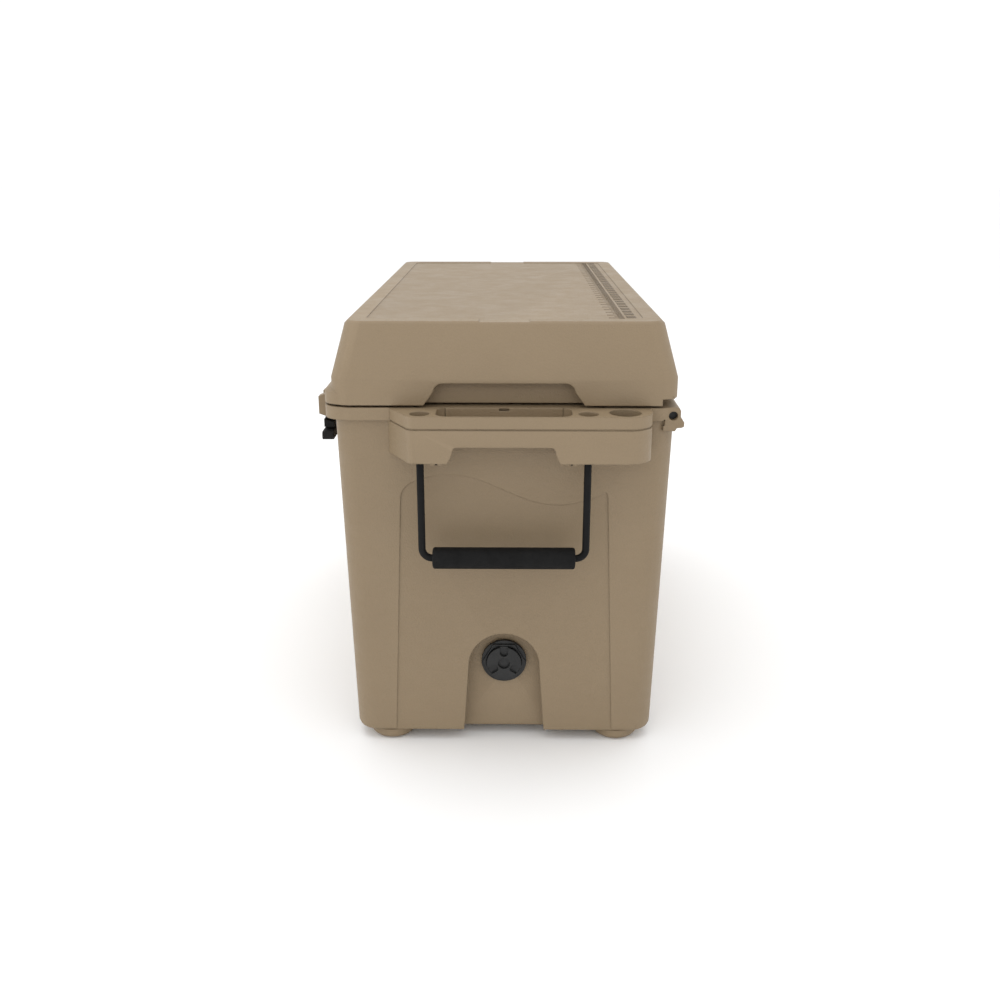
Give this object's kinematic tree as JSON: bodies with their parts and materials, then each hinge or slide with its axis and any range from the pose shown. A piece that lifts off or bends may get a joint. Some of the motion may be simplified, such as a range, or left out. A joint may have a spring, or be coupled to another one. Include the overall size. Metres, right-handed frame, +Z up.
{
  "type": "cooler chest",
  "caption": "Tan roto-moulded cooler chest with rod-hinged lid, rubber latches, end ledges with swing bails and a screw drain plug.",
  "frame": {"origin": "on the floor plane under the centre of the chest's outline, its latches and hinges included", "axes": "+Z up, +X towards the end with the drain, -Y towards the latches, +Y towards the hinge"},
  "size_m": [0.914, 0.462, 0.57],
  "materials": {
    "tan_shell": "matt roto-moulded polyethylene",
    "foam": "rigid foam",
    "steel": "satin",
    "black_metal": "satin powder coat",
    "grip_rubber": "matt",
    "black_rubber": "matt",
    "black_nylon": "satin"
  },
  "bodies": {
    "tub": {"tub_shell": "tan_shell", "tub_liner": "tan_shell", "tub_floor": "tan_shell", "ledge_drain_end": "tan_shell", "ledge_plain_end": "tan_shell", "tub_foam": "foam", "tub_fill_plugs": "black_nylon", "hinge_rod": "steel", "hinge_plug_drain_end": "black_nylon", "hinge_plug_plain_end": "black_nylon", "pivot_block_drain_front": "black_nylon", "pivot_block_drain_back": "black_nylon", "pivot_block_plain_front": "black_nylon", "pivot_block_plain_back": "black_nylon", "pivot_block_screws": "steel", "drain_fitting": "black_nylon", "drain_washer": "black_rubber", "drain_nut": "black_nylon", "foot_drain_front": "tan_shell", "foot_drain_back": "tan_shell", "foot_plain_front": "tan_shell", "foot_plain_back": "tan_shell", "foot_screws": "steel"},
    "lid": {"lid_shell": "tan_shell", "lid_foam": "foam", "lid_fill_plugs": "black_nylon", "lid_gasket": "black_rubber", "latch_pin_drain_end": "steel", "latch_pin_plain_end": "steel"},
    "latch_a": {"latch_drain_end": "black_rubber"},
    "latch_b": {"latch_plain_end": "black_rubber"},
    "bail_a": {"bail_drain_end": "black_metal"},
    "bail_b": {"bail_plain_end": "black_metal"},
    "grip_a": {"grip_drain_end": "grip_rubber"},
    "grip_b": {"grip_plain_end": "grip_rubber"},
    "drain_ring": {"drain_seal": "black_rubber"},
    "drain_cap": {"drain_plug": "black_nylon"}
  },
  "joints": [
    {"name": "lid_hinge", "type": "hinge", "parent": "tub", "child": "lid", "pos_m": [0, 0.2175, 0.4585], "axis": [-1, 0, 0], "range_deg": [0, 95]},
    {"name": "latch_drain_end_swing", "type": "hinge", "parent": "lid", "child": "latch_a", "pos_m": [0.284, -0.203, 0.479], "axis": [-1, 0, 0], "range_deg": [0, 90]},
    {"name": "latch_plain_end_swing", "type": "hinge", "parent": "lid", "child": "latch_b", "pos_m": [-0.284, -0.203, 0.479], "axis": [-1, 0, 0], "range_deg": [0, 90]},
    {"name": "bail_drain_end_swing", "type": "hinge", "parent": "tub", "child": "bail_a", "pos_m": [0.437, 0.012, 0.4145], "axis": [0, -1, 0], "range_deg": [-6, 68]},
    {"name": "bail_plain_end_swing", "type": "hinge", "parent": "tub", "child": "bail_b", "pos_m": [-0.437, 0.012, 0.4145], "axis": [0, 1, 0], "range_deg": [-6, 68]},
    {"name": "grip_drain_end_spin", "type": "hinge", "parent": "bail_a", "child": "grip_a", "pos_m": [0.437, 0.012, 0.2855], "axis": [0, 1, 0], "continuous": true},
    {"name": "grip_plain_end_spin", "type": "hinge", "parent": "bail_b", "child": "grip_b", "pos_m": [-0.437, 0.012, 0.2855], "axis": [0, 1, 0], "continuous": true},
    {"name": "drain_plug_travel", "type": "slide", "parent": "tub", "child": "drain_ring", "axis": [1, 0, 0], "range_m": [0, 0.009]},
    {"name": "drain_plug_turn", "type": "hinge", "parent": "drain_ring", "child": "drain_cap", "pos_m": [0.38, 0.012, 0.115], "axis": [1, 0, 0], "range_deg": [0, 1080]}
  ],
  "couplings": [
    {"joint": "drain_plug_travel", "follows": "drain_plug_turn", "m_per_rad": 0.00047746}
  ]
}
